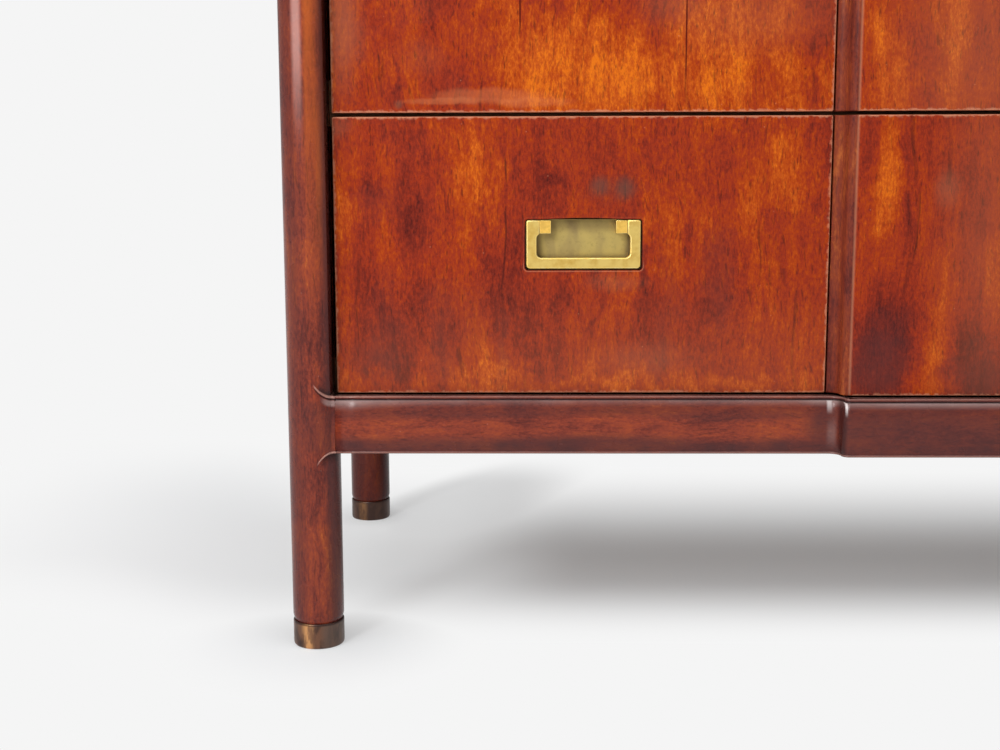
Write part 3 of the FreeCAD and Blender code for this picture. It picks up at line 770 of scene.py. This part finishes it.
def makePost(endName, sideName):
    inFront = endName == "front"
    signX, signY = 1 if sideName == "left" else -1, 1 if inFront else -1
    low, ledge, top = rail["low"], rail["ledge"], rail["top"]
    levels = (ferruleTop - post["inFerrule"], low - 30 * mm, low - 12 * mm, low + 3 * mm,
              ledge - 10 * mm, top + 14 * mm, top + 40 * mm, caseTop)
    heights = np.append(spread(zip(levels, levels[1:], post["rings"])), caseTop)
    angle, height = np.meshgrid(np.radians(spread(post["bends"])), heights)
    radius = postRadiusAt(angle, height, inFront)
    radius[0] -= post["tenonStep"]
    points = np.stack([signX * (radius * np.cos(angle) - postX),
                       (frontAxisY if inFront else rearAxisY) + signY * radius * np.sin(angle), height], -1)
    piece = gridPiece("post." + endName + "." + sideName, points, woodUpright if inFront else woodRear,
                      flip=signX * signY < 0)
    mount(piece, "case", "dark_hardwood", "post_" + endName + "_" + sideName)


corners = [(endName, sideName) for endName in ("front", "rear") for sideName in ("left", "right")]
for corner in corners:
    makePost(*corner)
print("posts carved")


# Ferrules: a turned profile of radius, as a share of the outer one, against height

ferrule = {
    "foot": [(0.6, 0.0), (0.9, 0.0), (0.955, 0.0003), (0.985, 0.0011), (0.997, 0.0024), (1.0, 0.0045),
             (1.0, 0.010), (0.998, 0.016)],
    "rim": [(1.0, -0.0012), (0.992, -0.0003), (0.975, 0.0), (0.93, 0.0), (0.925, -0.001), (0.925, -0.006),
            (0.5, -0.006)],                         # heights below the ferrule's top
    "sides": 96,
}
ferruleMetal = {
    "front": ferruleBrass("frontFerruleBrass", 0.0),
    # the rear copy is darker as painted shade under the chest
    "rear": ferruleBrass("shadedRearFerruleBrass", 0.6),
}


def makeFerrule(endName, sideName):
    low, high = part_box("ferrule_" + endName + "_" + sideName)
    centre = (low + high) / 2
    share, height = np.array(ferrule["foot"] + [(part, high.z + drop) for part, drop in ferrule["rim"]]).T
    angles = spread([(0, 2 * math.pi, ferrule["sides"])])
    radius, angle = np.meshgrid(share * (high.x - low.x) / 2, angles, indexing="ij")
    points = np.stack([centre.x + radius * np.cos(angle), centre.y + radius * np.sin(angle),
                       np.broadcast_to(height[:, None], radius.shape)], -1)
    piece = gridPiece("footCap." + endName + "." + sideName, points, ferruleMetal[endName])
    mount(piece, "case", "aged_brass", "ferrule_" + endName + "_" + sideName)


for corner in corners:
    makeFerrule(*corner)
print("ferrules turned")


# Boards that keep their construction shape and get a finish

def finishNode(node, material):
    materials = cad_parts[node].data.materials
    materials.clear()
    materials.append(material)


carcaseWood = plainWoodMaterial("carcaseWood", srgb(150, 106, 72), srgb(96, 62, 40), (0.06, 1.0, 1.0), 0.6)
drawerWood = plainWoodMaterial("drawerWood", srgb(190, 150, 108), srgb(140, 100, 66), (1.0, 0.06, 1.0), 0.55)
for node in ("rear_rail", "back_panel", "divider_left", "divider_right", "drawer_guides", "drawer_stops",
             "dust_boards_bottom", "dust_boards_middle", "dust_boards_top"):
    finishNode(node, carcaseWood)
sideVeneer = veneerMaterial("sideVeneer", (4.0, 0.0, 2.0), {})
finishNode("side_panel_left", sideVeneer)
finishNode("side_panel_right", sideVeneer)
finishNode("top_board", veneerMaterial("topVeneer", (9.0, 3.0, 1.0), {}, turn=(0.13, 1.0, 1.0)))

# Patches of the fronts' figure, and painted reflections in their lacquer, as veneerMaterial takes them
figures = {
    "left_bottom": {
        "bright": [
            (138, 412, 16, 44, 0.34), (28, 375, 13, 45, 0.28), (76, 335, 14, 28, 0.2),
            (104, 440, 14, 14, 0.2), (232, 262, 10, 20, 0.08), (180, 230, 75, 9, 0.16),
            (395, 410, 26, 26, 0.3), (300, 370, 22, 34, 0.24), (352, 375, 20, 26, 0.24),
            (340, 436, 30, 14, 0.12), (330, 231, 80, 9, 0.16), (385, 320, 14, 40, 0.1),
            (236, 380, 24, 20, 0.1), (410, 385, 12, 40, 0.1), (250, 231, 190, 8, 0.1)],
        "dark": [
            (46, 400, 15, 16, 0.26), (45, 290, 19, 42, 0.22), (86, 365, 13, 26, 0.28),
            (60, 285, 8, 30, 0.14), (120, 300, 14, 34, 0.14), (266, 385, 12, 26, 0.16),
            (80, 262, 10, 34, 0.16), (158, 310, 14, 44, 0.3), (186, 262, 10, 26, 0.26),
            (92, 432, 9, 16, 0.22), (318, 345, 5, 28, 0.22), (343, 395, 16, 30, 0.14),
            (212, 290, 6, 44, 0.22), (277, 320, 4, 40, 0.28), (290, 290, 16, 34, 0.12),
            (326, 285, 14, 20, 0.3), (241, 290, 4, 48, 0.2), (364, 290, 8, 30, 0.2), (204, 398, 10, 9, 0.26),
            (392, 350, 12, 30, 0.1), (60, 240, 26, 12, 0.18), (145, 412, 4, 40, 0.2),
            (170, 430, 14, 16, 0.14)],
        "dusk": [
            (62, 277, 12, 36, 0.26), (132, 284, 14, 22, 0.14), (252, 393, 22, 10, 0.26),
            (341, 305, 12, 40, 0.3), (56, 383, 18, 14, 0.16), (301, 296, 6, 36, 0.2),
            (56, 246, 20, 14, 0.36), (109, 268, 9, 36, 0.3), (159, 252, 5, 30, 0.28),
            (294, 264, 5, 24, 0.24)],
        "stain": [
            (242.4, 395, 7, 7, 0.55), (263, 393, 7, 8, 0.6), (296, 462, 3, 3, 0.5), (314, 460, 3, 3, 0.5)],
        "paintedGlare": [
            (255, 315, 20, 6, 0.18), (16, 445, 16, 8, 0.25), (250, 205, 300, 70, 0.17),
            (280, 250, 36, 12, 0.14)],
        "ticks": [(240, 250, 36, 14, 0.8), (240, 228, 200, 6, 0.6)],
    },
    "left_middle": {
        "bright": [
            (222, 490, 46, 36, 0.3), (60, 480, 16, 24, 0.1), (352, 495, 44, 60, 0.34), (16, 500, 6, 60, 0.2),
            (272, 480, 40, 24, 0.16), (160, 505, 22, 50, 0.13)],
        "dark": [
            (28, 510, 13, 40, 0.1), (108, 500, 18, 60, 0.24), (240, 548, 60, 12, 0.22),
            (76, 478, 3, 22, 0.3), (288, 530, 12, 36, 0.2), (448, 520, 12, 60, 0.6),
            (110, 545, 24, 16, 0.12), (424, 535, 12, 34, 0.26)],
        "drip": [(176.2, 545, 0.8, 26, 0.9), (312, 520, 0.7, 42, 0.9)],
        "paintedGlare": [
            (30, 530, 14, 44, 0.32), (96, 540, 10, 10, 0.06), (96, 500, 14, 12, 0.1),
            (300, 545, 20, 16, 0.16), (370, 535, 60, 24, 0.16)],
        "stain": [(76, 462, 3, 3, 0.6)],
        "paintedSharpGlare": [(112, 465, 30, 3, 0.3), (150, 469, 44, 6, 0.3), (186, 464, 30, 4, 0.26)],
        "lift": 0.1,
    },
    "centre_bottom": {
        "bright": [
            (474, 395, 12, 40, 0.46), (523, 262, 13, 46, 0.34), (560, 330, 14, 50, 0.1),
            (520, 330, 12, 30, 0.1), (520, 350, 20, 40, 0.12)],
        "dark": [
            (464, 275, 11, 44, 0.3), (484, 258, 20, 30, 0.3), (552, 245, 20, 34, 0.34),
            (534, 385, 20, 34, 0.1), (494, 392, 6, 34, 0.2)],
        "dusk": [(476, 250, 24, 30, 0.62), (566, 230, 26, 20, 0.5)],
        "paintedGlare": [(525, 393, 9, 12, 0.22), (565, 340, 36, 150, 0.2)],
        "lift": -0.02,
    },
    "centre_middle": {
        "bright": [(480, 500, 16, 40, 0.3), (525, 520, 14, 36, 0.2), (464, 515, 6, 40, 0.12)],
        "dark": [(496, 500, 14, 24, 0.3), (570, 500, 20, 60, 0.14)],
        "paintedGlare": [(550, 500, 60, 80, 0.22)],
        "lift": 0.07,
    },
}
fronts = {
    "plain": {"lift": 0.02},                        # look of a front without patches of its own
    "bankSeed": 1.7, "rowSeed": 2.3,                # steps of the figure's seed
    "mortiseGap": Vector((1.2 * mm, 1.0, 1.0 * mm)),
    "ogeeEdge": centreEdge - breakStep - 0.6 * mm,
}
tags = [bank + "_" + row for bank in banks for row in rows]
for tag in tags:
    bank, row = tag.split("_")
    seed = (banks.index(bank) * fronts["bankSeed"], 0.0, rows.index(row) * fronts["rowSeed"])
    bailLow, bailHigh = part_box("pull_bail_" + tag)
    mortise = ((bailLow + bailHigh) / 2, (bailHigh - bailLow) / 2 + fronts["mortiseGap"])
    finishNode("drawer_front_" + tag, veneerMaterial(
        "frontVeneer." + tag, seed, figures.get(tag, fronts["plain"]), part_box("drawer_front_" + tag),
        fronts["ogeeEdge"] if bank == "centre" else None, mortise))
    finishNode("drawer_box_" + tag, drawerWood)
print("fronts veneered")


# Pulls: the bail is an outline with a rounded rim, and bright caps close over the lugs

pull = {
    "bar": 9.0 * mm, "arm": 8.6 * mm, "headWidth": 10.7 * mm, "headHeight": 11.2 * mm,
    "innerRound": 4.0 * mm, "outerRound": 3.2 * mm, "topRound": 1.6 * mm,
    "edge": 1.0 * mm, "edgeDepth": 0.7,             # the rim's width, and its depth as a share of that
    "lugWidth": 9.5 * mm, "lugHeight": 10.7 * mm, "gap": 0.3 * mm, "capWall": 0.06 * mm,
    "capDepth": 6.0 * mm, "capEdge": 0.4 * mm, "lugSetback": 0.2 * mm,
}


def cornerArc(x, z, radius, start, end, count=7):
    turn = np.radians(np.linspace(start, end, count))
    return np.stack([x + radius * np.cos(turn), z + radius * np.sin(turn)], -1)


def outlinePiece(name, outline, front, depth, edge, material):
    # A flat piece with a rounded front rim: the outline (counterclockwise, in x and z) is drawn in
    # along its corner bisectors by a quarter circle's sine as the depth falls by its cosine.
    following, leading = np.roll(outline, -1, 0) - outline, outline - np.roll(outline, 1, 0)
    following /= np.linalg.norm(following, axis=1, keepdims=True)
    leading /= np.linalg.norm(leading, axis=1, keepdims=True)
    inward = np.stack([-(following + leading)[:, 1], (following + leading)[:, 0]], -1)
    inward /= 1 + np.sum(following * leading, axis=1, keepdims=True)
    turn = np.radians([90.0, 67.5, 45.0, 22.5, 0.0])
    inset = np.concatenate([[0.0], edge * (1 - np.sin(turn))])
    back = np.concatenate([[depth], pull["edgeDepth"] * edge * (1 - np.cos(turn))])
    flat = outline[None] + inward[None] * inset[:, None, None]
    rings = np.stack([flat[..., 0], np.broadcast_to(front + back[:, None], flat.shape[:2]), flat[..., 1]], -1)
    piece = gridPiece(name, rings, material, caps=False, flip=True)
    mesh = piece.data
    count, last = len(outline), (len(rings) - 1) * len(outline)
    walls = [list(polygon.vertices) for polygon in mesh.polygons]
    mesh.clear_geometry()
    mesh.from_pydata(rings.reshape(-1, 3).tolist(), [],
                     walls + [list(range(count)), list(range(last, last + count))[::-1]])
    mesh.polygons.foreach_set("use_smooth", [True] * len(walls) + [False] * 2)
    mesh.materials.append(rimMetal)
    mesh.polygons.foreach_set("material_index", [0] * count + [1] * (len(walls) - count) + [0] * 2)
    mesh.update()
    return piece


def makePull(tag):
    low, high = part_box("pull_bail_" + tag)
    half, x, z, top = (high.x - low.x) / 2, (low.x + high.x) / 2, low.z, high.z
    outer, inner, small = pull["outerRound"], pull["innerRound"], pull["topRound"]
    arm, bar = half - pull["arm"], z + pull["bar"]
    mouth, under = half - pull["headWidth"], top - pull["headHeight"]
    lean = math.degrees(math.acos((mouth - arm + inner) / inner))
    right = np.concatenate([
        cornerArc(half - outer, z + outer, outer, -90, 0),
        cornerArc(half - small, top - small, small, 0, 90, 4),
        [[mouth, top]], cornerArc(arm - inner, under - inner, inner, lean, 0, 5),
        cornerArc(arm - inner, bar + inner, inner, 0, -90)])
    outline = np.concatenate([right, right[::-1] * np.array([-1.0, 1.0])]) + np.array([x, 0.0])
    bail = outlinePiece("pullBail." + tag, outline, low.y, high.y - low.y, pull["edge"], bailMetal)
    mount(bail, "bail_" + tag, "bright_brass", "pull_bail_" + tag)
    lugX, wall = mouth - pull["gap"] - pull["lugWidth"] / 2, pull["capWall"]
    lugTop = top - (pull["headHeight"] - pull["lugHeight"]) / 2 + wall
    bottom, reach = lugTop - pull["lugHeight"] - 2 * wall, pull["lugWidth"] / 2 + wall
    for side, sideName in ((-1, ".left"), (1, ".right")):
        near, far = x + side * lugX - reach, x + side * lugX + reach
        square = np.array([[near, bottom], [far, bottom], [far, lugTop], [near, lugTop]])
        cap = outlinePiece("lugCap." + tag + sideName, square, low.y + pull["lugSetback"] - wall,
                           pull["capDepth"], pull["capEdge"], lugMetal)
        mount(cap, "drawer_" + tag, "bright_brass")
    finishNode("pull_plate_" + tag, agedBrass(tag, *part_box("pull_plate_" + tag)))


bailMetal = brightBrass()
rimMetal = rimBrass("rimBrass", "bright", "rim")
lugMetal = rimBrass("lugBrass", "brightDeep", "lug")
for tag in tags:
    makePull(tag)
print("pulls finished")


# Floor, light and camera

studio = {
    "pale": srgb(245, 245, 245), "floorTone": srgb(235, 238, 240), "ambient": 0.58, "floorHalf": 30.0,
    # the floor's shade: each run is from, to, and then its values at both ends or at the first
    "nearShare": 0.14, "legShare": 0.3, "legRun": (0.49, 0.65), "outRun": (0.85, 1.27),
    "frontRun": (-0.01, -0.21), "frontBend": (0.8, 1.05, 0.0, -0.1),
    "backRun": (0.05, 0.49), "backBend": (0.7, 1.0, 0.0, -0.2),
    "slant": 1.5, "slantRun": (0.01, 0.12, 0.5), "betweenFeet": ((0.44, 0.58), (0.7, 0.78)),
    "pastRearFoot": (0.16, 0.34), "contact": (0.015, 0.14, 0.6),
    # name, place, target, (width, height, watts), and whether it shows in gloss and in plain light
    "lamps": [("keyLight", (-2.6, -2.2, 1.8), (-0.5, -0.2, 0.6), (1.8, 1.6, 20), True, True),
              ("windowLight", (-1.85, -2.5, 1.3), (-0.6, -0.2, 1.2), (0.6, 1.5, 36), False, True),
              ("stripLight", (-1.85, -2.5, 1.7), (-0.6, -0.2, 1.2), (0.9, 1.2, 60), True, False),
              ("topLight", (0.0, -0.9, 3.0), (0.0, 0.0, 0.2), (3.4, 2.4, 42), True, True)],
    # the camera's place is measured from the left front post's foot, and its angles are in radians
    "camera": {"x": 0.18025, "y": -1.21496, "z": 0.43042, "yaw": -0.0176, "pitch": 0.1585, "roll": -0.0033,
               "lens": 52.2},
}


def mixToOutput(tree, outKind, share, first, second):
    node, out = addNode(tree, "ShaderNodeMixShader"), addNode(tree, outKind)
    feed(node.inputs[0], share)
    tree.links.new(first.outputs[0], node.inputs[1])
    tree.links.new(second.outputs[0], node.inputs[2])
    tree.links.new(node.outputs[0], out.inputs["Surface"])


def makeFloor():
    # Diffuse near the chest, and fading to the background's own tone further off
    half = studio["floorHalf"]
    outline = [(-half, -half, 0), (half, -half, 0), (half, half, 0), (-half, half, 0)]
    mesh = bpy.data.meshes.new("floor")
    mesh.from_pydata(outline, [], [(0, 1, 2, 3)])
    floor = addObject("floor", mesh)
    material, place = newMaterial("studioFloor")
    mesh.materials.append(material)
    tree = place.tree
    x, depth, _ = place.split()
    sideways = abs(x)
    legs = sideways.rise(*studio["legRun"], 0.0, studio["legShare"])
    ends = sideways.rise(*studio["outRun"], 0.0, 1 - studio["legShare"] - studio["nearShare"])
    ahead = (depth + sideways.rise(*studio["frontBend"])).fall(*studio["frontRun"])
    behind = (depth + sideways.rise(*studio["backBend"])).fall(*studio["backRun"])
    shaded = (1 - studio["nearShare"] - (legs + ends)) * (ahead * behind)
    # an even shade between the feet, with a slanted edge that starts at the rear foot
    slant = depth + sideways * studio["slant"] - (studio["slant"] * postX + rearAxisY)
    fromFoot, toFoot = studio["betweenFeet"]
    even = slant.fall(*studio["slantRun"]) * (sideways.rise(*fromFoot) * sideways.fall(*toFoot))
    even *= (depth - rearAxisY).fall(*studio["pastRearFoot"])
    shaded = shaded.most(even * ahead)
    # contact shadows about the four feet
    foot = abs(place - (0.0, middleY, 0.0)) - (postX, halfPitch, 0.0)
    shaded = shaded.most(foot.length().fall(*studio["contact"]))
    diffuse, glow = addNode(tree, "ShaderNodeBsdfDiffuse"), addNode(tree, "ShaderNodeEmission")
    diffuse.inputs["Color"].default_value = studio["floorTone"]
    glow.inputs["Color"].default_value = studio["pale"]
    rays = addNode(tree, "ShaderNodeLightPath").outputs
    seen = Flow(tree, rays["Is Camera Ray"]).most(Flow(tree, rays["Is Glossy Ray"]))
    mixToOutput(tree, "ShaderNodeOutputMaterial", (1.0 - shaded) * seen, diffuse, glow)


def makeWorld():
    world = bpy.data.worlds.new("studio")
    bpy.context.scene.world = world
    world.use_nodes = True
    tree = world.node_tree
    tree.nodes.clear()
    seen = Flow(tree, addNode(tree, "ShaderNodeLightPath").outputs["Is Camera Ray"])
    shown, lit = addNode(tree, "ShaderNodeBackground"), addNode(tree, "ShaderNodeBackground")
    shown.inputs["Color"].default_value = studio["pale"]
    lit.inputs["Strength"].default_value = studio["ambient"]
    mixToOutput(tree, "ShaderNodeOutputWorld", seen, lit, shown)


def makeLamp(name, spot, target, size, inGloss, inPlain):
    lamp = bpy.data.lights.new(name, "AREA")
    lamp.shape = "RECTANGLE"
    lamp.size, lamp.size_y, lamp.energy = size
    holder = addObject(name, lamp)
    holder.location = spot
    holder.rotation_euler = (Vector(target) - Vector(spot)).to_track_quat("-Z", "Y").to_euler()
    holder.visible_camera = False
    holder.visible_glossy, holder.visible_diffuse = inGloss, inPlain


def makeCamera():
    # Looks slightly down and to the left of square
    view = studio["camera"]
    data = bpy.data.cameras.new("camera")
    data.sensor_width = 36.0
    data.lens = view["lens"]
    camera = addObject("camera", data)
    yaw, pitch, roll = view["yaw"], view["pitch"], view["roll"]
    ahead = Vector((math.sin(yaw) * math.cos(pitch), math.cos(yaw) * math.cos(pitch), -math.sin(pitch)))
    right = Vector((math.cos(yaw), -math.sin(yaw), 0.0))
    up = right.cross(ahead)
    rolledRight = right * math.cos(roll) + up * math.sin(roll)
    rolledUp = up * math.cos(roll) - right * math.sin(roll)
    matrix = Matrix((rolledRight, rolledUp, -ahead)).transposed().to_4x4()
    matrix.translation = Vector((-postX + view["x"], frontAxisY + view["y"], view["z"]))
    camera.matrix_world = matrix
    bpy.context.scene.camera = camera


makeFloor()
makeWorld()
for lampFacts in studio["lamps"]:
    makeLamp(*lampFacts)
makeCamera()
bpy.context.scene.view_settings.view_transform = "Standard"
print("studio ready")
